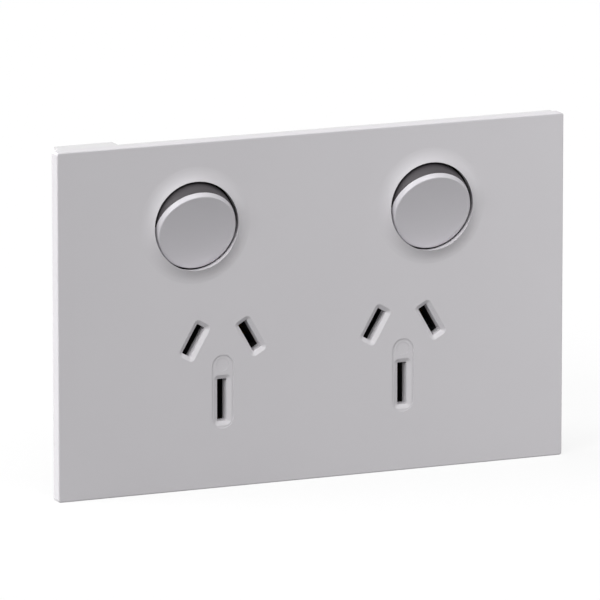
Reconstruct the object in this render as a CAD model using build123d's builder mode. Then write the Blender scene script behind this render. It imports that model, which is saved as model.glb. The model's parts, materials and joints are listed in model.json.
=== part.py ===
from build123d import *
import math
import os

# A double switched wall socket: a flat clip-fixed cover, a base frame that is screwed to the wall, a dark
# mechanism cover and a housing behind it, two round rocker switches and two three-pin outlets.
# Millimetres. X to the right, Z up, Y into the wall. The wall's surface is y = 0, and the origin is midway
# between the two fixing slots. Depths are counted from the cover's front face towards the wall.

# Cover plate
plate_width = 124.5
plate_height = 80.0
plate_depth = 3.1
plate_corner = 0.6
plate_edge = 0.3
face_wall = 1.6
skirt_wall = 1.5
projection = 7.8

# Base frame
side_inset = 1.0
deck_wall = 1.3
ring_inset = 3.0
ring_wall = 1.6
ring_corner = 2.5
seam_setback = 0.4
rib_wall = 1.2
rib_setback = 0.8
rib_x = 52.0
rib_z = 20.0
pad_left = -59.8
pad_right = -45.8
pad_height = 4.6

# Cover catches
catch_x = 40.0
catch_width = 7.0
catch_wall = 1.0
catch_barb = 0.5
catch_barb_height = 1.0
catch_gap = 0.1
catch_play = 0.05

# Fixing slots, 84 mm apart, for 3.5 mm screws
fixing_spacing = 84.0
fixing_slot_width = 4.0
fixing_slot_length = 6.5
fixing_floor = 1.9
fixing_pocket_width = 9.4
fixing_pocket_height = 9.4
fixing_boss_wall = 1.2

# Mechanism housing
body_top = 32.5
body_bottom = -29.5
body_back = 26.0
body_corner = 3.0
body_wall = 1.8
body_draft = 0.6
body_edge = 1.0
barrier_wall = 1.4
barrier_z = 9.8
barrier_front = 15.4
panel_width = 26.0
panel_height = 14.0
panel_depth = 0.4
panel_corner = 1.0
panel_z = -7.0
seat_size = 5.0
cover_gap = 0.05
cover_wall = 1.0
opening_gap = 0.1
way_rim_wall = 1.2
way_rim_height = 0.8

# Switches
switch_x = 28.93
switch_z = 21.0
aperture_r = 10.2
collar_r = 13.4
collar_rise = 1.0
well_inner_r = 10.4
well_wall = 1.6
aperture_back_r = 10.4
well_front = 1.8
well_floor = 1.0
spigot_way_width = 5.8
spigot_way_height = 9.4

# Rocker
rocker_tilt = 17.0
pivot_depth = 2.6
ball_r = 10.1
face_reach = 4.0
face_hollow_r = 74.0
cap_bore_r = 7.9
cap_face_wall = 1.2
skirt_reach = 0.8
cap_edge = 0.3
band_top_reach = 3.4
band_mid_reach = 2.5
band_seat_r = 8.4
band_gap = 0.05
trunnion_r = 0.8
trunnion_play = 0.05
trunnion_end_gap = 0.2
trunnion_pad = 1.1
carrier_gap = 0.05
carrier_disc = 1.4
carrier_post_r = 1.4
carrier_post_x = 4.6
carrier_post_gap = 0.05
spigot_r = 2.4
spigot_bore_r = 1.65
spigot_reach = 10.0
spring_seat_reach = 1.5

# Plunger and spring
plunger_r = 1.58
plunger_nose_r = 1.0
plunger_reach = 13.0
plunger_shoulder = 11.0
plunger_tail = 6.5
spring_r = 1.1
spring_wire = 0.4
spring_turns = 5

# Rocking contact, a see-saw on the knife edge of the pivot strap
see_saw_y = 9.45
see_saw_tilt = rocker_tilt / 2
see_saw_width = 4.4
see_saw_sheet = 0.9
see_saw_front = 1.35
see_saw_flat = 1.3
see_saw_knee = 4.2
see_saw_knee_front = 2.7
see_saw_end = 9.0
knife_r = 0.8
knife_play = 0.05
tip_r = 1.6
tip_wall = 0.7
tip_z = 7.0
tip_gap = 0.1

# Sheet brass parts
sheet = 1.0
strap_y = 11.0
bar_y = 13.4
strap_width = 5.0
tongue_width = 5.0
tongue_below_tip = 2.0
active_bar_top = 29.6
active_bar_height = 5.0
active_bar_end = 2.6
neutral_bar_z = 3.5
neutral_bar_height = 5.0
earth_bar_z = -19.0
earth_bar_height = 5.0
earth_bar_end = 3.0
strap_turn_z = 12.0
strap_join_z = 1.0
jaw_root = 3.0
earth_leg_width = 6.0

# Outlets, to the standard three-pin pattern
outlet_x = 22.25
outlet_z = -9.5
pin_circle_r = 7.92
pin_spread = 60.0
pin_lean = 30.0
earth_drop = 10.31
mouth_wall = 0.95
mouth_corner = 1.1
mouth_depth = 0.65
mouth_edge = 0.25
throat_width = 2.3
live_throat_length = 7.4
earth_throat_length = 9.8
throat_corner = 0.2
boss_wall = 1.0
guide_gap = 0.2
guide_wall = 1.0
recess_width = 5.3
recess_height = 17.0
recess_depth = 0.18
recess_z = -17.8
dimple_r = 1.5
dimple_depth = 0.08
dimple_z = -11.6

# Contact jaws
leaf_sheet = 0.6
leaf_root = 1.6
leaf_pinch = 0.65
leaf_pinch_y = 4.2
leaf_mouth = 1.6
leaf_mouth_y = 1.6
leaf_bend_y = 9.0
live_jaw_width = 5.6
earth_jaw_width = 7.4

# Terminals
terminal_width = 8.0
terminal_length = 9.0
terminal_depth = 8.0
terminal_bore_r = 2.15
terminal_edge = 0.4
terminal_wall_gap = 0.3
terminal_side_gap = 1.05
terminal_screw_r = 1.65
terminal_screw_play = 0.05
terminal_head_r = 2.8
terminal_head = 1.8
terminal_slot_width = 0.8
terminal_slot_depth = 0.9
terminal_head_gap = 0.5
wire_way_r = 2.6
driver_way_r = 3.4

# Housing screws
post_r = 3.7
post_x = 12.5
post_top_z = 17.0
post_bottom_z = -25.4
screw_r = 1.4
screw_play = 0.05
screw_head_r = 2.7
screw_head = 1.9
screw_seat_y = 14.0
screw_tip_y = -3.0
screw_pocket_r = 3.0
screw_slot_width = 0.8
screw_slot_depth = 0.9
frame_boss_r = 3.2

# Worked out from the sizes above
front_y = -projection
deck_back = plate_depth + deck_wall
seam_depth = projection - seam_setback
ring_depth = projection - deck_back
pivot_y = front_y + pivot_depth
well_outer_r = well_inner_r + well_wall
well_floor_depth = seam_depth - well_floor
body_height = body_top - body_bottom
body_z = (body_top + body_bottom) / 2
body_depth = body_back + seam_setback
floor_y = body_back - body_wall
pin_x = pin_circle_r * math.sin(math.radians(pin_spread))
pin_z = pin_circle_r * math.cos(math.radians(pin_spread))
strap_back = strap_y + sheet
bar_back = bar_y + sheet
terminal_back = bar_back + terminal_depth
wire_y = bar_back + terminal_depth / 2
inner_top = body_top - body_wall
inner_bottom = body_bottom + body_wall
active_terminal_z = inner_top - terminal_wall_gap - terminal_length / 2
lower_terminal_z = inner_bottom + terminal_wall_gap + terminal_length / 2
neutral_x = outlet_x + pin_x
loop_x = -neutral_x
body_width = 2 * (neutral_x + terminal_width / 2 + terminal_side_gap + body_wall)
active_bar_z = active_bar_top - active_bar_height / 2
switches = {"left": -switch_x, "right": switch_x}
outlets = {"left": -outlet_x, "right": outlet_x}
fixing_places = [(-fixing_spacing / 2, 0), (fixing_spacing / 2, 0)]
posts = [(x, z) for z in (post_top_z, post_bottom_z) for x in (-post_x, post_x)]


def layer(depth):
    """A plane that faces the viewer, at a depth behind the cover's front face."""
    return Plane(origin=(0, front_y + depth, 0), x_dir=(1, 0, 0), z_dir=(0, -1, 0))


def wall_layer(y):
    """The same plane, by its y."""
    return layer(y - front_y)


def pin_slots(x):
    """The three slots of the outlet at x: name, place, lean and whether it is the long earth slot."""
    return [
        ("active", (x - pin_x, outlet_z + pin_z), -pin_lean, False),
        ("neutral", (x + pin_x, outlet_z + pin_z), pin_lean, False),
        ("earth", (x, outlet_z - earth_drop), 0.0, True),
    ]


all_slots = [slot for x in outlets.values() for slot in pin_slots(x)]


def throat_size(is_earth, grow=0.0):
    length = earth_throat_length if is_earth else live_throat_length
    return throat_width + 2 * grow, length + 2 * grow


def bent_strip(points, thickness, side=Side.LEFT):
    """The section of a bent strip: the line of one of its faces, and the side the metal lies on."""
    with BuildLine() as outline:
        face_line = Polyline(*points)
        offset(face_line, amount=thickness, side=side)
    make_face(outline.edges())


def add_jaw(place, lean, width, base_y):
    """Two spring leaves that pinch a pin, standing forward from a strip at base_y."""
    lean_angle = math.radians(lean)
    jaw_plane = Plane(
        origin=(place[0], 0, place[1]),
        x_dir=(math.cos(lean_angle), 0, math.sin(lean_angle)),
        z_dir=(-math.sin(lean_angle), 0, math.cos(lean_angle)),
    )
    leaf = [
        (leaf_root, base_y),
        (leaf_root, leaf_bend_y),
        (leaf_pinch, leaf_pinch_y),
        (leaf_mouth, leaf_mouth_y),
    ]
    with BuildSketch(jaw_plane) as leaves:
        bent_strip(leaf, leaf_sheet)
        mirror(about=Plane.YZ)
    extrude(leaves.sketch, amount=width / 2, both=True)


# Cover plate, with the switch collars, the soft mouths of the pin slots and the earth slot's recess
with BuildPart() as cover_plate:
    with BuildSketch(layer(0)):
        RectangleRounded(plate_width, plate_height, plate_corner)
    extrude(amount=-plate_depth)
    fillet(cover_plate.faces().sort_by(Axis.Y)[0].edges(), plate_edge)
    with BuildSketch(layer(face_wall)):
        Rectangle(plate_width - 2 * skirt_wall, plate_height - 2 * skirt_wall)
    extrude(amount=face_wall - plate_depth, mode=Mode.SUBTRACT)
    with BuildSketch(layer(face_wall)):
        for name, place, lean, is_earth in all_slots:
            with Locations(place):
                RectangleRounded(*throat_size(is_earth, boss_wall), boss_wall, rotation=lean)
    extrude(amount=face_wall - plate_depth)
    for x in switches.values():
        centre = (x, front_y, switch_z)
        with BuildSketch(Plane(origin=centre, x_dir=(1, 0, 0), z_dir=(0, 0, 1))):
            with BuildLine():
                rise = TangentArc((collar_r, 0), (aperture_r, -collar_rise), tangent=(-1, 0))
                Polyline(rise @ 1, (aperture_r, face_wall / 2), (collar_r, face_wall / 2), rise @ 0)
            make_face()
        revolve(axis=Axis(centre, (0, 1, 0)))
    for x in switches.values():
        with BuildSketch(layer(-collar_rise)):
            with Locations((x, switch_z)):
                Circle(aperture_r)
        with BuildSketch(layer(face_wall)):
            with Locations((x, switch_z)):
                Circle(aperture_back_r)
        loft(mode=Mode.SUBTRACT)
    with BuildSketch(layer(0)):
        with Locations(*[(x, recess_z) for x in outlets.values()]):
            SlotOverall(recess_height, recess_width, rotation=90)
    extrude(amount=-recess_depth, mode=Mode.SUBTRACT)
    with BuildSketch(layer(0)):
        with Locations(*[(x, dimple_z) for x in outlets.values()]):
            Circle(dimple_r)
    extrude(amount=-(recess_depth + dimple_depth), mode=Mode.SUBTRACT)
    # Each slot has a shallow sloping mouth with a soft outer edge, and a straight throat
    for name, place, lean, is_earth in all_slots:
        mouth_top = recess_depth if is_earth else 0
        with BuildSketch(layer(mouth_top)):
            with Locations(place):
                RectangleRounded(*throat_size(is_earth, mouth_wall), mouth_corner, rotation=lean)
        with BuildSketch(layer(mouth_depth)):
            with Locations(place):
                RectangleRounded(*throat_size(is_earth), throat_corner, rotation=lean)
        loft(mode=Mode.SUBTRACT)
        outer_edges = cover_plate.edges(Select.LAST).group_by(Axis.Y)[0]
        fillet(outer_edges, mouth_edge)
        with BuildSketch(layer(mouth_depth)):
            with Locations(place):
                RectangleRounded(*throat_size(is_earth), throat_corner, rotation=lean)
        extrude(amount=mouth_depth - plate_depth, mode=Mode.SUBTRACT)
    # Catches along the top and bottom, each a tongue with a barb behind the deck
    catch_z = plate_height / 2 - ring_inset + catch_gap
    skin_back = front_y + face_wall
    barb_y = front_y + deck_back + catch_play
    catch_end = barb_y + catch_barb_height
    for up in (1, -1):
        for x in (-catch_x, 0, catch_x):
            with BuildSketch(Plane(origin=(x, 0, 0), x_dir=(0, 0, up), z_dir=(up, 0, 0))):
                with BuildLine():
                    Polyline(
                        (catch_z, -skin_back),
                        (catch_z + catch_wall, -skin_back),
                        (catch_z + catch_wall, -barb_y),
                        (catch_z + catch_wall + catch_barb, -barb_y),
                        (catch_z + catch_wall, -catch_end),
                        (catch_z, -catch_end),
                        close=True,
                    )
                make_face()
            extrude(amount=catch_width / 2, both=True)
cover_plate.part.label = "cover_plate"
export_step(cover_plate.part, "parts/cover_plate.step")


# Base frame: a deck with a wall ring, ribs, fixing bosses and openings for the mechanism's wells and guides
with BuildPart() as base_frame:
    with BuildSketch(layer(plate_depth)):
        RectangleRounded(plate_width - 2 * side_inset, plate_height, plate_corner)
    extrude(amount=-deck_wall)
    ring_width = plate_width - 2 * ring_inset
    ring_height = plate_height - 2 * ring_inset
    with BuildSketch(layer(deck_back)):
        RectangleRounded(ring_width, ring_height, ring_corner)
        Rectangle(ring_width - 2 * ring_wall, ring_height - 2 * ring_wall, mode=Mode.SUBTRACT)
    extrude(amount=-ring_depth)
    with BuildSketch(layer(deck_back)):
        with Locations(((pad_left + pad_right) / 2, plate_height / 2)):
            Rectangle(pad_right - pad_left, pad_height, align=(Align.CENTER, Align.MAX))
    extrude(amount=-ring_depth)
    with BuildSketch(layer(deck_back)):
        with Locations((-rib_x, 0), (rib_x, 0)):
            Rectangle(rib_wall, ring_height - ring_wall)
        with Locations((0, -rib_z), (0, rib_z)):
            Rectangle(ring_width - ring_wall, rib_wall)
        with Locations((-post_x, 0), (post_x, 0)):
            Rectangle(rib_wall, ring_height - ring_wall)
    extrude(amount=rib_setback - ring_depth)
    # The mechanism's place is cleared of ribs
    with BuildSketch(layer(deck_back)):
        with Locations((0, body_z)):
            Rectangle(body_width + 2 * opening_gap, body_height + 2 * opening_gap)
        with Locations(*[(x, switch_z) for x in switches.values()]):
            Circle(well_outer_r + opening_gap)
    extrude(amount=-ring_depth, mode=Mode.SUBTRACT)
    with BuildSketch(layer(deck_back)):
        with Locations(*posts):
            Circle(frame_boss_r)
    extrude(amount=deck_back - seam_depth)
    with BuildSketch(layer(deck_back)):
        with Locations(*fixing_places):
            Rectangle(
                fixing_pocket_width + 2 * fixing_boss_wall,
                fixing_pocket_height + 2 * fixing_boss_wall,
            )
    extrude(amount=-ring_depth)
    with BuildSketch(layer(plate_depth)):
        with Locations(*[(x, switch_z) for x in switches.values()]):
            Circle(well_outer_r + opening_gap)
        for name, place, lean, is_earth in all_slots:
            with Locations(place):
                Rectangle(*throat_size(is_earth, guide_gap + guide_wall + opening_gap), rotation=lean)
    extrude(amount=-deck_wall, mode=Mode.SUBTRACT)
    with BuildSketch(layer(plate_depth)):
        with Locations(*fixing_places):
            Rectangle(fixing_pocket_width, fixing_pocket_height)
    extrude(amount=fixing_floor - (projection - plate_depth), mode=Mode.SUBTRACT)
    with BuildSketch(layer(plate_depth)):
        with Locations(*fixing_places):
            SlotOverall(fixing_slot_length, fixing_slot_width)
    extrude(amount=plate_depth - projection, mode=Mode.SUBTRACT)
    notch_low = catch_z - catch_gap / 2
    notch_height = catch_wall + catch_gap + catch_play
    with BuildSketch(layer(plate_depth)):
        for up in (1, -1):
            with Locations(*[(x, up * (notch_low + notch_height / 2)) for x in (-catch_x, 0, catch_x)]):
                Rectangle(catch_width + 2 * catch_gap, notch_height)
    extrude(amount=-deck_wall, mode=Mode.SUBTRACT)
    with BuildSketch(layer(seam_depth)):
        with Locations(*posts):
            Circle(screw_r + screw_play)
    extrude(amount=-seam_setback - screw_tip_y + screw_play, mode=Mode.SUBTRACT)
base_frame.part.label = "base_frame"
export_step(base_frame.part, "parts/base_frame.step")


# Mechanism cover: a dark tray with the switch wells and pin guides, which reach through the frame's deck
with BuildPart() as mechanism_cover:
    tray_depth = deck_back + cover_gap
    with BuildSketch(layer(tray_depth)):
        with Locations((0, body_z)):
            RectangleRounded(body_width, body_height, body_corner)
    extrude(amount=tray_depth - seam_depth)
    with BuildSketch(layer(tray_depth + cover_wall)):
        with Locations((0, body_z)):
            Rectangle(body_width - 2 * body_wall, body_height - 2 * body_wall)
    extrude(amount=tray_depth + cover_wall - seam_depth, mode=Mode.SUBTRACT)
    with BuildSketch(layer(tray_depth)):
        with Locations(*posts):
            Circle(frame_boss_r + opening_gap)
    extrude(amount=tray_depth - seam_depth, mode=Mode.SUBTRACT)
    with BuildSketch(layer(plate_depth + cover_gap)):
        for name, place, lean, is_earth in all_slots:
            with Locations(place):
                Rectangle(*throat_size(is_earth, guide_gap + guide_wall), rotation=lean)
    extrude(amount=plate_depth + cover_gap - seam_depth)
    with BuildSketch(layer(well_front)):
        with Locations(*[(x, switch_z) for x in switches.values()]):
            Circle(well_outer_r)
    extrude(amount=well_front - seam_depth)
    with BuildSketch(layer(well_front)):
        with Locations(*[(x, switch_z) for x in switches.values()]):
            Circle(well_inner_r)
    extrude(amount=well_front - well_floor_depth, mode=Mode.SUBTRACT)
    with BuildSketch(layer(well_floor_depth)):
        with Locations(*[(x, switch_z) for x in switches.values()]):
            Rectangle(spigot_way_width, spigot_way_height)
    extrude(amount=-well_floor, mode=Mode.SUBTRACT)
    for x in switches.values():
        with BuildSketch(Plane(origin=(x, pivot_y, switch_z), x_dir=(0, 1, 0), z_dir=(1, 0, 0))):
            Circle(trunnion_r + trunnion_play)
        extrude(amount=well_outer_r, both=True, mode=Mode.SUBTRACT)
    with BuildSketch(layer(plate_depth)):
        for name, place, lean, is_earth in all_slots:
            with Locations(place):
                Rectangle(*throat_size(is_earth, guide_gap), rotation=lean)
    extrude(amount=plate_depth - seam_depth, mode=Mode.SUBTRACT)
mechanism_cover.part.label = "mechanism_cover"
export_step(mechanism_cover.part, "parts/mechanism_cover.step")


# Rear housing: a drafted box with screw posts, seats for the brass parts, wire entries and driver holes
terminal_places = [
    (0, active_terminal_z),
    (loop_x, lower_terminal_z),
    (0, lower_terminal_z),
    (neutral_x, lower_terminal_z),
]
with BuildPart() as rear_housing:
    with BuildSketch(layer(seam_depth)):
        with Locations((0, body_z)):
            RectangleRounded(body_width, body_height, body_corner)
    extrude(amount=-body_depth, taper=body_draft)
    fillet(rear_housing.faces().sort_by(Axis.Y)[-1].edges(), body_edge)
    with BuildSketch(layer(seam_depth)):
        with Locations((0, body_z)):
            Rectangle(body_width - 2 * body_wall, body_height - 2 * body_wall)
    extrude(amount=-(body_depth - body_wall), taper=body_draft, mode=Mode.SUBTRACT)
    # Seats: ribs that rise from the rear wall to the back of each brass part
    with BuildSketch(wall_layer(strap_back)):
        for x in switches.values():
            with Locations((x, switch_z)):
                Rectangle(strap_width, strap_width)
        for x in outlets.values():
            with Locations((x - pin_x, outlet_z + pin_z)):
                Rectangle(seat_size, seat_size)
    extrude(amount=strap_back - floor_y)
    with BuildSketch(wall_layer(bar_back)):
        for x in outlets.values():
            with Locations((x + pin_x, outlet_z + pin_z), (x, outlet_z - earth_drop)):
                Rectangle(seat_size, seat_size)
        for x in switches.values():
            with Locations((x, active_bar_z)):
                Rectangle(seat_size, active_bar_height)
        with Locations((0, neutral_bar_z)):
            Rectangle(seat_size, seat_size)
    extrude(amount=bar_back - floor_y)
    with BuildSketch(wall_layer(terminal_back)):
        with Locations(*terminal_places):
            Rectangle(terminal_width, terminal_length)
    extrude(amount=terminal_back - floor_y)
    with BuildSketch(wall_layer(barrier_front)):
        with Locations((0, barrier_z)):
            Rectangle(body_width - 2 * body_wall, barrier_wall)
    extrude(amount=barrier_front - floor_y)
    with BuildSketch(layer(seam_depth)):
        with Locations(*posts):
            Circle(post_r)
    extrude(amount=seam_depth - (body_back - front_y) + body_wall / 2)
    with BuildSketch(layer(seam_depth)):
        with Locations(*posts):
            Circle(screw_r + screw_play)
    extrude(amount=-body_depth, mode=Mode.SUBTRACT)
    with BuildSketch(wall_layer(screw_seat_y)):
        with Locations(*posts):
            Circle(screw_pocket_r)
    extrude(amount=screw_seat_y - body_back, mode=Mode.SUBTRACT)
    # Driver holes to the terminal screws, each with a raised rim
    with BuildSketch(wall_layer(body_back)):
        with Locations(*terminal_places):
            Circle(driver_way_r + way_rim_wall)
    extrude(amount=-way_rim_height)
    with BuildSketch(wall_layer(terminal_back)):
        with Locations(*terminal_places):
            Circle(driver_way_r)
    extrude(amount=terminal_back - body_back - way_rim_height, mode=Mode.SUBTRACT)
    for x, z in terminal_places:
        with BuildSketch(Plane(origin=(x, wire_y, z), x_dir=(1, 0, 0), z_dir=(0, 0, 1 if z > 0 else -1))):
            Circle(wire_way_r)
        extrude(amount=body_height, mode=Mode.SUBTRACT)
    # A shallow bare panel on the back
    with BuildSketch(wall_layer(body_back)):
        with Locations((0, panel_z)):
            RectangleRounded(panel_width, panel_height, panel_corner)
    extrude(amount=panel_depth, mode=Mode.SUBTRACT)
rear_housing.part.label = "rear_housing"
export_step(rear_housing.part, "parts/rear_housing.step")


def rocker_plane(x):
    """The rocker's own plane: through its pivot, facing out of its tilted face."""
    tilt = math.radians(rocker_tilt)
    return Plane(
        origin=(x, pivot_y, switch_z),
        x_dir=(1, 0, 0),
        z_dir=(0, -math.cos(tilt), -math.sin(tilt)),
    )


def ball_slice(inner_r, outer_r, top_reach):
    """Half the section of the rocker's ball, from the skirt's end to a height along its axis."""
    low = math.degrees(math.asin(-skirt_reach / outer_r))
    high = math.degrees(math.asin(top_reach / outer_r))
    with BuildLine() as outline:
        arc = CenterArc((0, 0), outer_r, low, high - low)
        Polyline(arc @ 1, (inner_r, (arc @ 1).Y), (inner_r, -skirt_reach), arc @ 0)
    make_face(outline.edges())


def band_side(inset):
    """The side view of the dark band's place: above the trunnions, with a sloping top."""
    slope = (band_top_reach - band_mid_reach) / ball_r
    low_z = trunnion_pad + inset
    high_z = 2 * ball_r
    with BuildLine() as outline:
        Polyline(
            (low_z, -2 * skirt_reach),
            (high_z, -2 * skirt_reach),
            (high_z, band_mid_reach + slope * high_z - inset),
            (low_z, band_mid_reach + slope * low_z - inset),
            close=True,
        )
    make_face(outline.edges())


# The two rockers, each a cap, a dark band, a carrier with the spigot, a spring and a plunger
for side, x in switches.items():
    rocker = rocker_plane(x)
    pivot_line = Plane(origin=rocker.origin, x_dir=rocker.y_dir, z_dir=(1, 0, 0))
    section = Plane(origin=rocker.origin, x_dir=(1, 0, 0), z_dir=-rocker.y_dir)
    spin_axis = Axis(rocker.origin, rocker.z_dir)

    # The cap is a slice of a ball about the pivot, so that its gap stays even, with a hollowed face
    with BuildPart() as rocker_cap:
        with BuildSketch(section):
            ball_slice(0, ball_r, face_reach + cap_face_wall)
        revolve(axis=spin_axis)
        with BuildSketch(pivot_line):
            with Locations((0, face_reach + face_hollow_r)):
                Circle(face_hollow_r)
        extrude(amount=2 * ball_r, both=True, mode=Mode.SUBTRACT)
        fillet(rocker_cap.faces().filter_by(GeomType.CYLINDER).edges(), cap_edge)
        # The upper half of the skirt is cut back to seat the dark band
        with BuildSketch(pivot_line):
            band_side(0)
        extrude(amount=2 * ball_r, both=True, mode=Mode.SUBTRACT)
        with BuildSketch(rocker.offset(-skirt_reach)):
            Circle(band_seat_r - band_gap)
        extrude(amount=skirt_reach + band_mid_reach + band_gap)
        with BuildSketch(pivot_line):
            Circle(trunnion_r)
        extrude(amount=well_outer_r - trunnion_end_gap, both=True)
        with BuildSketch(rocker.offset(-skirt_reach - trunnion_r)):
            Circle(cap_bore_r)
        extrude(amount=skirt_reach + trunnion_r + face_reach - cap_face_wall, mode=Mode.SUBTRACT)
    rocker_cap.part.label = f"{side}_rocker_cap"
    export_step(rocker_cap.part, f"parts/{side}_rocker_cap.step")

    with BuildPart() as on_band:
        with BuildSketch(section):
            ball_slice(band_seat_r, ball_r, band_top_reach + band_gap)
        revolve(axis=spin_axis)
        with BuildSketch(pivot_line):
            band_side(band_gap)
        extrude(amount=2 * ball_r, both=True, mode=Mode.INTERSECT)
    on_band.part.label = f"{side}_on_band"
    export_step(on_band.part, f"parts/{side}_on_band.step")

    with BuildPart() as rocker_carrier:
        with BuildSketch(rocker.offset(-skirt_reach)):
            Circle(cap_bore_r - carrier_gap)
        extrude(amount=carrier_disc)
        with BuildSketch(rocker.offset(-skirt_reach)):
            with PolarLocations(carrier_post_x, 4):
                Circle(carrier_post_r)
        extrude(amount=skirt_reach + face_reach - cap_face_wall - carrier_post_gap)
        with BuildSketch(rocker.offset(-spigot_reach)):
            Circle(spigot_r)
        extrude(amount=spigot_reach)
        with BuildSketch(rocker.offset(-spigot_reach)):
            Circle(spigot_bore_r)
        extrude(amount=spigot_reach - spring_seat_reach, mode=Mode.SUBTRACT)
    rocker_carrier.part.label = f"{side}_rocker_carrier"
    export_step(rocker_carrier.part, f"parts/{side}_rocker_carrier.step")

    with BuildPart() as plunger:
        with BuildSketch(section):
            with BuildLine():
                nose_centre = plunger_reach - plunger_nose_r
                nose_side = (plunger_nose_r, -nose_centre)
                Polyline(
                    nose_side,
                    (plunger_r, -plunger_shoulder),
                    (plunger_r, -plunger_tail),
                    (0, -plunger_tail),
                    (0, -plunger_reach),
                )
                RadiusArc((0, -plunger_reach), nose_side, -plunger_nose_r)
            make_face()
        revolve(axis=spin_axis)
    plunger.part.label = f"{side}_plunger"
    export_step(plunger.part, f"parts/{side}_plunger.step")

    spring_length = plunger_tail - spring_seat_reach - spring_wire
    with BuildPart() as plunger_spring:
        with BuildLine():
            coil = Helix(
                pitch=spring_length / spring_turns,
                height=spring_length,
                radius=spring_r,
                center=rocker.offset(-plunger_tail + spring_wire / 2).origin,
                direction=rocker.z_dir,
            )
        with BuildSketch(Plane(origin=coil @ 0, z_dir=coil % 0)):
            Circle(spring_wire / 2)
        sweep(is_frenet=True)
    plunger_spring.part.label = f"{side}_plunger_spring"
    export_step(plunger_spring.part, f"parts/{side}_plunger_spring.step")


def see_saw_plane(x):
    """The see-saw's section plane: local x runs up along it, local y points to the front."""
    tilt = math.radians(see_saw_tilt)
    return Plane(
        origin=(x, see_saw_y, switch_z),
        x_dir=(0, math.sin(tilt), math.cos(tilt)),
        z_dir=(1, 0, 0),
    )


# The two rocking contacts and their silver tips
wing_back = see_saw_knee_front - see_saw_sheet
moving_tip_face = wing_back - tip_wall
fixed_tip_face = moving_tip_face - tip_gap
for side, x in switches.items():
    see_saw = see_saw_plane(x)
    with BuildPart() as rocking_contact:
        with BuildSketch(see_saw):
            bent_strip(
                [
                    (see_saw_end, see_saw_knee_front),
                    (see_saw_knee, see_saw_knee_front),
                    (see_saw_flat, see_saw_front),
                    (-see_saw_flat, see_saw_front),
                    (-see_saw_knee, see_saw_knee_front),
                    (-see_saw_end, see_saw_knee_front),
                ],
                see_saw_sheet,
            )
            Circle(knife_r + knife_play, mode=Mode.SUBTRACT)
        extrude(amount=see_saw_width / 2, both=True)
    rocking_contact.part.label = f"{side}_rocking_contact"
    export_step(rocking_contact.part, f"parts/{side}_rocking_contact.step")

    tip_plane = Plane(origin=see_saw.origin, x_dir=(1, 0, 0), z_dir=see_saw.y_dir)
    with BuildPart() as moving_tip:
        with BuildSketch(tip_plane.offset(moving_tip_face)):
            with Locations((0, tip_z)):
                Circle(tip_r)
        extrude(amount=tip_wall)
    moving_tip.part.label = f"{side}_moving_tip"
    export_step(moving_tip.part, f"parts/{side}_moving_tip.step")

    with BuildPart() as fixed_tip:
        with BuildSketch(tip_plane.offset(fixed_tip_face)):
            with Locations((0, tip_z)):
                Circle(tip_r)
        extrude(amount=-tip_wall)
    fixed_tip.part.label = f"{side}_fixed_tip"
    export_step(fixed_tip.part, f"parts/{side}_fixed_tip.step")


# Pivot straps: each carries the knife edge under its rocking contact and the jaws of its active slot
strap_routes = {
    "left": [
        (-switch_x, switch_z + strap_width / 2),
        (-switch_x, switch_z),
        (-outlet_x - pin_x, outlet_z + pin_z - jaw_root),
    ],
    "right": [
        (switch_x, switch_z + strap_width / 2),
        (switch_x, strap_turn_z),
        (outlet_x - pin_x, strap_join_z),
        (outlet_x - pin_x, outlet_z + pin_z - jaw_root),
    ],
}
for side, x in switches.items():
    name, place, lean, is_earth = pin_slots(outlets[side])[0]
    with BuildPart() as pivot_strap:
        with BuildSketch(wall_layer(strap_y)):
            with BuildLine() as route:
                Polyline(*strap_routes[side])
            trace(route.line, line_width=strap_width)
        extrude(amount=-sheet)
        with BuildSketch(Plane(origin=(x, see_saw_y, switch_z), x_dir=(0, 1, 0), z_dir=(1, 0, 0))):
            Circle(knife_r)
            Rectangle(strap_y - see_saw_y, 2 * knife_r, align=(Align.MIN, Align.CENTER))
        extrude(amount=strap_width / 2, both=True)
        add_jaw(place, lean, live_jaw_width, strap_y)
    pivot_strap.part.label = f"{side}_pivot_strap"
    export_step(pivot_strap.part, f"parts/{side}_pivot_strap.step")

# Active bar along the top, with a folded tongue under each fixed tip
with BuildPart() as active_bar:
    with BuildSketch(wall_layer(bar_y)):
        with Locations((0, active_bar_z)):
            Rectangle(2 * (switch_x + active_bar_end), active_bar_height)
    extrude(amount=-sheet)
    tilt = math.radians(see_saw_tilt)
    tip_seat = fixed_tip_face - tip_wall
    tongue_low = tip_z - tongue_below_tip
    tongue_high = (active_bar_top - switch_z - tip_seat * math.sin(tilt)) / math.cos(tilt)
    tongue = [
        (
            see_saw_y + along * math.sin(tilt) - tip_seat * math.cos(tilt),
            switch_z + along * math.cos(tilt) + tip_seat * math.sin(tilt),
        )
        for along in (tongue_low, tongue_high)
    ]
    for x in switches.values():
        with BuildSketch(Plane(origin=(x, 0, 0), x_dir=(0, 1, 0), z_dir=(1, 0, 0))):
            bent_strip(tongue + [(bar_back, active_bar_top)], sheet, Side.RIGHT)
        extrude(amount=tongue_width / 2, both=True)
active_bar.part.label = "active_bar"
export_step(active_bar.part, "parts/active_bar.step")

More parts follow.
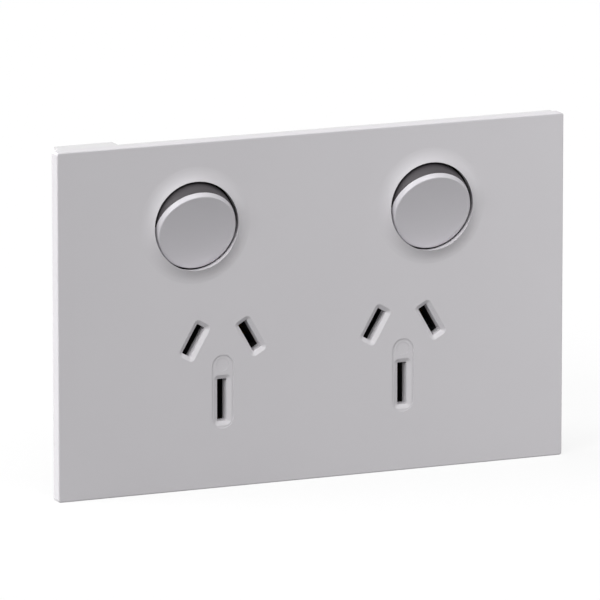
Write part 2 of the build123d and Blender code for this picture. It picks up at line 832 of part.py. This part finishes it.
# Neutral bar: a cross strip behind the right strap, a leg to each neutral slot and on to the terminal
with BuildPart() as neutral_bar:
    left_neutral = (-outlet_x + pin_x, outlet_z + pin_z)
    right_neutral = (outlet_x + pin_x, outlet_z + pin_z)
    with BuildSketch(wall_layer(bar_y)):
        with BuildLine() as route:
            Polyline(
                (left_neutral[0], left_neutral[1] - jaw_root),
                (left_neutral[0], neutral_bar_z),
                (right_neutral[0], neutral_bar_z),
                (right_neutral[0], lower_terminal_z - terminal_length / 2),
            )
        trace(route.line, line_width=neutral_bar_height)
    extrude(amount=-sheet)
    for place in (left_neutral, right_neutral):
        add_jaw(place, pin_lean, live_jaw_width, bar_y)
neutral_bar.part.label = "neutral_bar"
export_step(neutral_bar.part, "parts/neutral_bar.step")

# Earth bar: a cross strip under both earth slots with a leg down to the terminal
with BuildPart() as earth_bar:
    with BuildSketch(wall_layer(bar_y)):
        with Locations((0, earth_bar_z)):
            Rectangle(2 * (outlet_x + earth_bar_end), earth_bar_height)
        with Locations((0, earth_bar_z)):
            Rectangle(
                earth_leg_width,
                earth_bar_z - lower_terminal_z + terminal_length / 2,
                align=(Align.CENTER, Align.MAX),
            )
    extrude(amount=-sheet)
    for x in outlets.values():
        add_jaw((x, outlet_z - earth_drop), 0, earth_jaw_width, bar_y)
earth_bar.part.label = "earth_bar"
export_step(earth_bar.part, "parts/earth_bar.step")

# Tunnel terminals: a brass block with a wire bore along Z and a screw hole from the back
terminal_names = ["active_terminal", "loop_terminal", "earth_terminal", "neutral_terminal"]
for name, (x, z) in zip(terminal_names, terminal_places):
    with BuildPart() as terminal:
        with BuildSketch(wall_layer(bar_back)):
            with Locations((x, z)):
                Rectangle(terminal_width, terminal_length)
        extrude(amount=-terminal_depth)
        chamfer(terminal.edges().filter_by(Axis.Z), terminal_edge)
        with BuildSketch(Plane(origin=(x, wire_y, z), x_dir=(1, 0, 0), z_dir=(0, 0, 1))):
            Circle(terminal_bore_r)
        extrude(amount=terminal_length, both=True, mode=Mode.SUBTRACT)
        with BuildSketch(wall_layer(wire_y)):
            with Locations((x, z)):
                Circle(terminal_screw_r + terminal_screw_play)
        extrude(amount=-terminal_depth, mode=Mode.SUBTRACT)
    terminal.part.label = name
    export_step(terminal.part, f"parts/{name}.step")

# Clamping screws of the terminals, slotted, seen through the driver holes
with BuildPart() as terminal_screws:
    head_y = terminal_back + terminal_head_gap
    with BuildSketch(wall_layer(wire_y + terminal_bore_r)):
        with Locations(*terminal_places):
            Circle(terminal_screw_r)
    extrude(amount=wire_y + terminal_bore_r - head_y)
    with BuildSketch(wall_layer(head_y)):
        with Locations(*terminal_places):
            Circle(terminal_head_r)
    extrude(amount=-terminal_head)
    with BuildSketch(wall_layer(head_y + terminal_head)):
        with Locations(*terminal_places):
            Rectangle(3 * terminal_head_r, terminal_slot_width)
    extrude(amount=terminal_slot_depth, mode=Mode.SUBTRACT)
terminal_screws.part.label = "terminal_screws"
export_step(terminal_screws.part, "parts/terminal_screws.step")

# Four screws that draw the housing to the base frame
with BuildPart() as housing_screws:
    with BuildSketch(wall_layer(screw_tip_y)):
        with Locations(*posts):
            Circle(screw_r)
    extrude(amount=screw_tip_y - screw_seat_y)
    with BuildSketch(wall_layer(screw_seat_y)):
        with Locations(*posts):
            Circle(screw_head_r)
    extrude(amount=-screw_head)
    with BuildSketch(wall_layer(screw_seat_y + screw_head)):
        with Locations(*posts):
            Rectangle(3 * screw_head_r, screw_slot_width)
            Rectangle(screw_slot_width, 3 * screw_head_r)
    extrude(amount=screw_slot_depth, mode=Mode.SUBTRACT)
housing_screws.part.label = "housing_screws"
export_step(housing_screws.part, "parts/housing_screws.step")
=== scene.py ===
import json
import math

import bpy
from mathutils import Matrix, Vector


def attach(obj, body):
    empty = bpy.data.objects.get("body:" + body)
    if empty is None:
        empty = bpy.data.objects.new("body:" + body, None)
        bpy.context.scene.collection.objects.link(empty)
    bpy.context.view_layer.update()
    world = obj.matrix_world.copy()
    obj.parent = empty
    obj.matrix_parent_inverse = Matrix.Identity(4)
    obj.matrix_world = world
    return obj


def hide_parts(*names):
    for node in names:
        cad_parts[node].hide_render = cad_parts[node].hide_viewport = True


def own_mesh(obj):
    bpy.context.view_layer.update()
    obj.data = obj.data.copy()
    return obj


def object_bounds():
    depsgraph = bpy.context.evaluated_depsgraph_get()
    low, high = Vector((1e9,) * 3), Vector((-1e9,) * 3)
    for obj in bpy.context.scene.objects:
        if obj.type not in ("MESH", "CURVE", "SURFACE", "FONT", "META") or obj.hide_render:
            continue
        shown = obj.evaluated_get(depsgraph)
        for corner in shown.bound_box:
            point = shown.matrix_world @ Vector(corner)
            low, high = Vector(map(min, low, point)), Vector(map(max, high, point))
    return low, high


# A double switched wall socket, dressed in moulded plastics, brass and steel.
# Metres. X to the right, Z up, Y into the wall, with the wall's surface at y = 0.
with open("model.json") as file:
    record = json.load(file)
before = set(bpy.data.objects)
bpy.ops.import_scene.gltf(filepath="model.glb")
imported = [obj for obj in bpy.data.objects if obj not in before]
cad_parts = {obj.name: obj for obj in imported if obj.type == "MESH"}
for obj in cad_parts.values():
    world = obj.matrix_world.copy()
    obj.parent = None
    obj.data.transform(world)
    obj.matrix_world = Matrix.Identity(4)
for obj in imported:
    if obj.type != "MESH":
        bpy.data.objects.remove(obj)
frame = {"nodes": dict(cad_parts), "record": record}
cad_low, cad_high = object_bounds()
nodes = frame["nodes"]

MM = 0.001


def add_object(name, data):
    """A new object with this data, in the scene."""
    made = bpy.data.objects.new(name, data)
    bpy.context.scene.collection.objects.link(made)
    return made


def turn_to(made, direction, axis):
    """Turns an object until its axis points in a direction."""
    made.rotation_mode = "QUATERNION"
    made.rotation_quaternion = Vector(direction).to_track_quat(axis, "Y")


# Shader node helpers

# The colour sockets of a Mix node, which share their names with its other sockets
MIX_COLOUR_A = 6
MIX_COLOUR_B = 7
MIX_COLOUR_RESULT = 2


def new_material(name):
    """A material with a Principled shader, its node tree and that shader."""
    material = bpy.data.materials.new(name)
    material.use_nodes = True
    tree = material.node_tree
    return material, tree, tree.nodes["Principled BSDF"]


def new_group(name, inputs, outputs):
    """A shader node group with the named sockets: its tree and its two end nodes."""
    tree = bpy.data.node_groups.new(name, "ShaderNodeTree")
    for socket, kind, value in inputs:
        made = tree.interface.new_socket(name=socket, in_out="INPUT", socket_type=kind)
        made.default_value = value
    for socket, kind in outputs:
        tree.interface.new_socket(name=socket, in_out="OUTPUT", socket_type=kind)
    return tree, tree.nodes.new("NodeGroupInput"), tree.nodes.new("NodeGroupOutput")


def noise(tree, scale, detail=2.0, roughness=0.5):
    """A noise texture on the piece's own object coordinates.

    scale is about its lumps per metre, as a number or a socket.
    """
    place = tree.nodes.new("ShaderNodeTexCoord")
    texture = tree.nodes.new("ShaderNodeTexNoise")
    texture.inputs["Detail"].default_value = detail
    texture.inputs["Roughness"].default_value = roughness
    tree.links.new(place.outputs["Object"], texture.inputs["Vector"])
    if isinstance(scale, (int, float)):
        texture.inputs["Scale"].default_value = scale
    else:
        tree.links.new(scale, texture.inputs["Scale"])
    return texture


def drifting(tree, value, base, spread):
    """base, raised by up to spread as value goes from 0 to 1. base and spread are sockets."""
    top = tree.nodes.new("ShaderNodeMath")
    top.operation = "ADD"
    tree.links.new(base, top.inputs[0])
    tree.links.new(spread, top.inputs[1])
    drift = tree.nodes.new("ShaderNodeMapRange")
    tree.links.new(value, drift.inputs["Value"])
    tree.links.new(base, drift.inputs["To Min"])
    tree.links.new(top.outputs["Value"], drift.inputs["To Max"])
    return drift.outputs["Result"]


def bumped(tree, height, depth, reach):
    """The normal of a bump. height and depth are sockets, and depth is a share of reach."""
    bump = tree.nodes.new("ShaderNodeBump")
    bump.inputs["Distance"].default_value = reach
    tree.links.new(depth, bump.inputs["Strength"])
    tree.links.new(height, bump.inputs["Height"])
    return bump.outputs["Normal"]


def place_group(tree, group, **values):
    """An instance of a node group, with its named inputs set."""
    node = tree.nodes.new("ShaderNodeGroup")
    node.node_tree = group
    for socket, value in values.items():
        node.inputs[socket.replace("_", " ")].default_value = value
    return node


# Effects shared by several materials

GRAIN_REACH = 0.02 * MM
# Lumps per metre of the slow drift in a plastic's gloss
GLOSS_SCALE = 60.0


def build_mould_grain():
    """The fine grain that a mould leaves on plastic: a bump, and a slow drift of the gloss."""
    tree, given, out = new_group(
        "mould grain",
        [
            ("Grain scale", "NodeSocketFloat", 4000.0),
            ("Grain depth", "NodeSocketFloat", 0.1),
            ("Roughness", "NodeSocketFloat", 0.4),
            ("Gloss spread", "NodeSocketFloat", 0.05),
        ],
        [("Roughness", "NodeSocketFloat"), ("Normal", "NodeSocketVector")],
    )
    grain = noise(tree, given.outputs["Grain scale"], detail=3.0, roughness=0.6)
    normal = bumped(tree, grain.outputs["Fac"], given.outputs["Grain depth"], GRAIN_REACH)
    clouds = noise(tree, GLOSS_SCALE)
    rough = drifting(
        tree, clouds.outputs["Fac"], given.outputs["Roughness"], given.outputs["Gloss spread"]
    )
    tree.links.new(rough, out.inputs["Roughness"])
    tree.links.new(normal, out.inputs["Normal"])
    return tree


# The part of the noise's range over which the tone changes
TONE_START = 0.35
TONE_END = 0.65


def build_tone_drift():
    """A faint, cloudy change of tone, such as flow in a moulding or dulling on a metal."""
    tree, given, out = new_group(
        "tone drift",
        [
            ("Colour", "NodeSocketColor", (0.5, 0.5, 0.5, 1.0)),
            ("Second colour", "NodeSocketColor", (0.45, 0.45, 0.45, 1.0)),
            ("Cloud scale", "NodeSocketFloat", 40.0),
        ],
        [("Colour", "NodeSocketColor")],
    )
    cloud = noise(tree, given.outputs["Cloud scale"], detail=3.0)
    mask = tree.nodes.new("ShaderNodeMapRange")
    mask.inputs["From Min"].default_value = TONE_START
    mask.inputs["From Max"].default_value = TONE_END
    tree.links.new(cloud.outputs["Fac"], mask.inputs["Value"])
    mix = tree.nodes.new("ShaderNodeMix")
    mix.data_type = "RGBA"
    tree.links.new(mask.outputs["Result"], mix.inputs["Factor"])
    tree.links.new(given.outputs["Colour"], mix.inputs[MIX_COLOUR_A])
    tree.links.new(given.outputs["Second colour"], mix.inputs[MIX_COLOUR_B])
    tree.links.new(mix.outputs[MIX_COLOUR_RESULT], out.inputs["Colour"])
    return tree


ROLLED_REACH = 0.03 * MM
# How much of the noise's fineness is left along Z
ROLLED_STRETCH = 0.06


def build_rolled_marks():
    """The fine parallel marks that rolling or drawing leaves on metal, drawn out along Z."""
    tree, given, out = new_group(
        "rolled marks",
        [
            ("Mark scale", "NodeSocketFloat", 900.0),
            ("Mark depth", "NodeSocketFloat", 0.15),
            ("Roughness", "NodeSocketFloat", 0.3),
            ("Gloss spread", "NodeSocketFloat", 0.18),
        ],
        [("Roughness", "NodeSocketFloat"), ("Normal", "NodeSocketVector")],
    )
    place = tree.nodes.new("ShaderNodeTexCoord")
    drawn = tree.nodes.new("ShaderNodeMapping")
    drawn.inputs["Scale"].default_value = (1.0, 1.0, ROLLED_STRETCH)
    marks = tree.nodes.new("ShaderNodeTexNoise")
    marks.inputs["Detail"].default_value = 3.0
    tree.links.new(place.outputs["Object"], drawn.inputs["Vector"])
    tree.links.new(drawn.outputs["Vector"], marks.inputs["Vector"])
    tree.links.new(given.outputs["Mark scale"], marks.inputs["Scale"])
    normal = bumped(tree, marks.outputs["Fac"], given.outputs["Mark depth"], ROLLED_REACH)
    rough = drifting(
        tree, marks.outputs["Fac"], given.outputs["Roughness"], given.outputs["Gloss spread"]
    )
    tree.links.new(rough, out.inputs["Roughness"])
    tree.links.new(normal, out.inputs["Normal"])
    return tree


mould_grain = build_mould_grain()
tone_drift = build_tone_drift()
rolled_marks = build_rolled_marks()


# Finishes

PLASTIC_IOR = 1.49
METAL_CLOUD_SCALE = 180.0


def wear(tree, shader, tone, skin):
    """Puts a tone group's colour and a skin group's gloss and bump on a shader."""
    tree.links.new(tone.outputs["Colour"], shader.inputs["Base Color"])
    tree.links.new(skin.outputs["Roughness"], shader.inputs["Roughness"])
    tree.links.new(skin.outputs["Normal"], shader.inputs["Normal"])


def plastic(name, colour, second, roughness, grain_scale, grain_depth, specular=0.5):
    """A moulded plastic: a clouded colour and a grained, more or less satin skin."""
    material, tree, shader = new_material(name)
    tone = place_group(tree, tone_drift, Colour=(*colour, 1.0), Second_colour=(*second, 1.0))
    skin = place_group(
        tree,
        mould_grain,
        Grain_scale=grain_scale,
        Grain_depth=grain_depth,
        Roughness=roughness,
    )
    wear(tree, shader, tone, skin)
    shader.inputs["IOR"].default_value = PLASTIC_IOR
    shader.inputs["Specular IOR Level"].default_value = specular
    return material


def metal(name, colour, dulled, roughness, mark_scale, mark_depth):
    """A bare metal with rolled or turned marks and dulled patches."""
    material, tree, shader = new_material(name)
    tone = place_group(
        tree,
        tone_drift,
        Colour=(*colour, 1.0),
        Second_colour=(*dulled, 1.0),
        Cloud_scale=METAL_CLOUD_SCALE,
    )
    skin = place_group(
        tree,
        rolled_marks,
        Mark_scale=mark_scale,
        Mark_depth=mark_depth,
        Roughness=roughness,
    )
    wear(tree, shader, tone, skin)
    shader.inputs["Metallic"].default_value = 1.0
    return material


finishes = {
    "cover_plastic": plastic(
        "cover satin plastic", (0.580, 0.566, 0.588), (0.572, 0.558, 0.580), 0.46, 5200.0, 0.25
    ),
    "rocker_plastic": plastic(
        "rocker polished plastic", (0.584, 0.569, 0.600), (0.577, 0.562, 0.593), 0.26, 3000.0, 0.05
    ),
    "band_plastic": plastic(
        "band charcoal plastic", (0.048, 0.043, 0.048), (0.054, 0.049, 0.054), 0.46, 4500.0, 0.2
    ),
    "frame_plastic": plastic(
        "frame pale plastic", (0.575, 0.570, 0.578), (0.565, 0.560, 0.568), 0.38, 3500.0, 0.15
    ),
    "housing_plastic": plastic(
        "housing pale plastic", (0.530, 0.526, 0.532), (0.515, 0.511, 0.517), 0.34, 2600.0, 0.2
    ),
    "cover_tray_plastic": plastic(
        "tray black plastic", (0.014, 0.014, 0.015), (0.018, 0.018, 0.019), 0.55, 2600.0, 0.2, 0.3
    ),
    "carrier_plastic": plastic(
        "carrier black nylon", (0.035, 0.035, 0.037), (0.042, 0.042, 0.044), 0.40, 2600.0, 0.15
    ),
    "sheet_brass": metal(
        "sheet brass", (0.78, 0.56, 0.25), (0.66, 0.45, 0.19), 0.26, 900.0, 0.15
    ),
    "block_brass": metal(
        "machined brass", (0.80, 0.60, 0.29), (0.70, 0.50, 0.22), 0.22, 1600.0, 0.3
    ),
    "contact_silver": metal(
        "contact silver", (0.86, 0.85, 0.83), (0.74, 0.72, 0.69), 0.24, 1200.0, 0.1
    ),
    "spring_steel": metal(
        "spring steel", (0.55, 0.55, 0.56), (0.46, 0.46, 0.47), 0.28, 2200.0, 0.1
    ),
    "screw_steel": metal(
        "zinced steel", (0.66, 0.66, 0.64), (0.56, 0.57, 0.55), 0.30, 1500.0, 0.2
    ),
}


def dress_nodes():
    """Gives each CAD node the finish of its slot."""
    for part in frame["record"]["subparts"]:
        node = nodes[part["node"]]
        node.data.materials.clear()
        node.data.materials.append(finishes[part["material_slot"]])


dress_nodes()


# Each spring is copied onto its rocker, which carries it whole

# Each switch's x
SWITCHES = {"left": -28.93 * MM, "right": 28.93 * MM}


def build_springs():
    """A copy of each spring, carried whole by its rocker in place of the CAD spring."""
    for side, x in SWITCHES.items():
        node_name = side + "_plunger_spring"
        spring = add_object(side + "_pressed_spring", nodes[node_name].data.copy())
        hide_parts(node_name)
        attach(spring, side + "_rocker")
        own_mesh(spring)


build_springs()


# The marks of ejector pins on the back of the frame, made by geometry nodes

DISC_SIDES = 32
DECK_BACK_Y = -3.4 * MM
MARK_WIDTH = 4.0 * MM
# Half of it is sunk in the deck
MARK_HEIGHT = 0.70 * MM
# Places in mm, with the columns at both signs of x
MARK_COLUMNS = (47.6, 55.1)
MARK_ROWS = (-28.0, -13.0, 13.0, 28.0)


def mark_disc(tree, given):
    """The low round mark that an ejector pin leaves, its axis along Y."""
    half = tree.nodes.new("ShaderNodeMath")
    half.operation = "DIVIDE"
    half.inputs[1].default_value = 2.0
    disc = tree.nodes.new("GeometryNodeMeshCylinder")
    disc.inputs["Vertices"].default_value = DISC_SIDES
    turn = tree.nodes.new("GeometryNodeTransform")
    turn.inputs["Rotation"].default_value = (math.pi / 2, 0.0, 0.0)
    tree.links.new(given.outputs["Width"], half.inputs[0])
    tree.links.new(half.outputs["Value"], disc.inputs["Radius"])
    tree.links.new(given.outputs["Height"], disc.inputs["Depth"])
    tree.links.new(disc.outputs["Mesh"], turn.inputs["Geometry"])
    return turn.outputs["Geometry"]


def build_mark_tree():
    """A geometry node tree that sets a mark on each point of a mesh and paints it."""
    tree = bpy.data.node_groups.new("pin marks", "GeometryNodeTree")
    tree.interface.new_socket(name="Geometry", in_out="INPUT", socket_type="NodeSocketGeometry")
    tree.interface.new_socket(name="Geometry", in_out="OUTPUT", socket_type="NodeSocketGeometry")
    for socket in ("Width", "Height"):
        tree.interface.new_socket(name=socket, in_out="INPUT", socket_type="NodeSocketFloat")
    tree.interface.new_socket(name="Material", in_out="INPUT", socket_type="NodeSocketMaterial")
    given = tree.nodes.new("NodeGroupInput")
    out = tree.nodes.new("NodeGroupOutput")
    spread = tree.nodes.new("GeometryNodeInstanceOnPoints")
    real = tree.nodes.new("GeometryNodeRealizeInstances")
    paint = tree.nodes.new("GeometryNodeSetMaterial")
    tree.links.new(given.outputs["Geometry"], spread.inputs["Points"])
    tree.links.new(mark_disc(tree, given), spread.inputs["Instance"])
    tree.links.new(spread.outputs["Instances"], real.inputs["Geometry"])
    tree.links.new(real.outputs["Geometry"], paint.inputs["Geometry"])
    tree.links.new(given.outputs["Material"], paint.inputs["Material"])
    tree.links.new(paint.outputs["Geometry"], out.inputs["Geometry"])
    return tree


def build_pin_marks():
    """The marks as one plain mesh that rides the fixed body."""
    tree = build_mark_tree()
    points = [
        (sign * x * MM, DECK_BACK_Y, z * MM)
        for sign in (-1, 1)
        for x in MARK_COLUMNS
        for z in MARK_ROWS
    ]
    seed_mesh = bpy.data.meshes.new("frame_pin_marks_points")
    seed_mesh.from_pydata(points, [], [])
    seed = add_object("frame_pin_marks_points", seed_mesh)
    modifier = seed.modifiers.new("details", "NODES")
    modifier.node_group = tree
    values = {
        "Width": MARK_WIDTH,
        "Height": MARK_HEIGHT,
        "Material": finishes["frame_plastic"],
    }
    for item in tree.interface.items_tree:
        if item.in_out == "INPUT" and item.name in values:
            modifier[item.identifier] = values[item.name]
    depsgraph = bpy.context.evaluated_depsgraph_get()
    mesh = bpy.data.meshes.new_from_object(seed.evaluated_get(depsgraph))
    bpy.data.objects.remove(seed)
    marks = add_object("frame_pin_marks", mesh)
    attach(marks, "socket")


build_pin_marks()


# Floor, lights and camera

FLOOR_WIDTH = 14.0
FLOOR_COLOUR = (0.80, 0.80, 0.80, 1.0)
FLOOR_SECOND_COLOUR = (0.79, 0.79, 0.79, 1.0)
FLOOR_CLOUD_SCALE = 3.0
FLOOR_ROUGHNESS = 0.9
# The greyer floor from which light is thrown back on the object
FLOOR_BOUNCE_COLOUR = (0.19, 0.19, 0.19, 1.0)
# The share of plain white in the floor as direct rays see it, which keeps its shadows faint
FLOOR_WHITE = 0.85


def direct_rays(tree):
    """1 for a ray from the camera, a gloss or a clear piece, and 0 for one that carries light."""
    path = tree.nodes.new("ShaderNodeLightPath")
    seen = tree.nodes.new("ShaderNodeMath")
    seen.operation = "MAXIMUM"
    direct = tree.nodes.new("ShaderNodeMath")
    direct.operation = "MAXIMUM"
    tree.links.new(path.outputs["Is Camera Ray"], seen.inputs[0])
    tree.links.new(path.outputs["Is Glossy Ray"], seen.inputs[1])
    tree.links.new(seen.outputs["Value"], direct.inputs[0])
    tree.links.new(path.outputs["Is Transmission Ray"], direct.inputs[1])
    return direct.outputs["Value"]


def build_floor():
    """A plain pale floor at the object's lowest point. It keeps the object's shadow."""
    mesh = bpy.data.meshes.new("floor")
    half = FLOOR_WIDTH / 2
    corners = [(-half, -half, 0.0), (half, -half, 0.0), (half, half, 0.0), (-half, half, 0.0)]
    mesh.from_pydata([(x, y, cad_low.z) for x, y, z in corners], [], [(0, 1, 2, 3)])
    floor = add_object("floor", mesh)
    material, tree, shader = new_material("pale floor")
    tone = place_group(
        tree,
        tone_drift,
        Colour=FLOOR_COLOUR,
        Second_colour=FLOOR_SECOND_COLOUR,
        Cloud_scale=FLOOR_CLOUD_SCALE,
    )
    direct = direct_rays(tree)
    tint = tree.nodes.new("ShaderNodeMix")
    tint.data_type = "RGBA"
    tint.inputs[MIX_COLOUR_A].default_value = FLOOR_BOUNCE_COLOUR
    tree.links.new(direct, tint.inputs["Factor"])
    tree.links.new(tone.outputs["Colour"], tint.inputs[MIX_COLOUR_B])
    tree.links.new(tint.outputs[MIX_COLOUR_RESULT], shader.inputs["Base Color"])
    shader.inputs["Roughness"].default_value = FLOOR_ROUGHNESS
    shader.inputs["Specular IOR Level"].default_value = 0.0
    share = tree.nodes.new("ShaderNodeMath")
    share.operation = "MULTIPLY"
    share.inputs[1].default_value = FLOOR_WHITE
    white = tree.nodes.new("ShaderNodeEmission")
    mix = tree.nodes.new("ShaderNodeMixShader")
    tree.links.new(direct, share.inputs[0])
    tree.links.new(share.outputs["Value"], mix.inputs["Fac"])
    tree.links.new(shader.outputs["BSDF"], mix.inputs[1])
    tree.links.new(white.outputs["Emission"], mix.inputs[2])
    tree.links.new(mix.outputs["Shader"], tree.nodes["Material Output"].inputs["Surface"])
    mesh.materials.append(material)


WHITE = (1.0, 1.0, 1.0, 1.0)
WORLD_LIGHT = 0.05


def build_world():
    """Even, weak sky light, and plain white where a direct ray goes past the object."""
    world = bpy.data.worlds.new("studio")
    bpy.context.scene.world = world
    world.use_nodes = True
    tree = world.node_tree
    sky = tree.nodes["Background"]
    sky.inputs["Color"].default_value = WHITE
    sky.inputs["Strength"].default_value = WORLD_LIGHT
    backdrop = tree.nodes.new("ShaderNodeBackground")
    backdrop.inputs["Color"].default_value = WHITE
    mix = tree.nodes.new("ShaderNodeMixShader")
    tree.links.new(direct_rays(tree), mix.inputs["Fac"])
    tree.links.new(sky.outputs["Background"], mix.inputs[1])
    tree.links.new(backdrop.outputs["Background"], mix.inputs[2])
    tree.links.new(mix.outputs["Shader"], tree.nodes["World Output"].inputs["Surface"])


def add_sun(name, towards, strength, spread):
    """A soft sun that shines from a direction. spread is its angle in degrees."""
    light = bpy.data.lights.new(name, "SUN")
    light.energy = strength
    light.angle = math.radians(spread)
    turn_to(add_object(name, light), towards, "Z")


def add_panel(name, place, width, power):
    """A square light panel at a place, turned to the object."""
    light = bpy.data.lights.new(name, "AREA")
    light.size = width
    light.energy = power
    lamp = add_object(name, light)
    lamp.location = place
    turn_to(lamp, place, "Z")


# The fitted camera: turns in degrees, places in metres, lens and sensor in mm
VIEW_YAW = 23.27
VIEW_PITCH = 11.84
VIEW_DISTANCE = 2.017
VIEW_LENS = 534.9
SENSOR_WIDTH = 36.0
CLIP_END = 100.0
VIEW_TARGET = Vector((-0.00329, -0.0078, 0.00177))


def build_camera():
    """The photograph's viewpoint: a long lens from the left and above."""
    yaw, pitch = math.radians(VIEW_YAW), math.radians(VIEW_PITCH)
    flat = math.cos(pitch)
    back = Vector((-math.sin(yaw) * flat, -math.cos(yaw) * flat, math.sin(pitch)))
    data = bpy.data.cameras.new("photo_view")
    data.lens = VIEW_LENS
    data.sensor_width = SENSOR_WIDTH
    data.clip_end = CLIP_END
    camera = add_object("photo_view", data)
    camera.location = VIEW_TARGET + back * VIEW_DISTANCE
    turn_to(camera, -back, "-Z")
    bpy.context.scene.camera = camera


build_floor()
build_world()
add_sun("top_light", (0.0, -0.42, 0.91), 1.17, 30.0)
add_sun("left_light", (-0.75, -0.45, 0.48), 2.00, 30.0)
add_sun("front_light", (-0.45, -0.8, 0.4), 0.27, 30.0)
add_sun("back_light", (-0.6, 0.3, 0.74), 1.72, 40.0)
add_sun("back_left_light", (-0.92, 0.25, 0.3), 1.20, 30.0)
add_sun("rear_light", (-0.30, 0.95, 0.06), 0.70, 30.0)
add_panel("right_light", (0.36, -0.26, 0.04), 0.14, 0.48)
build_camera()
bpy.context.scene.view_settings.view_transform = "Standard"
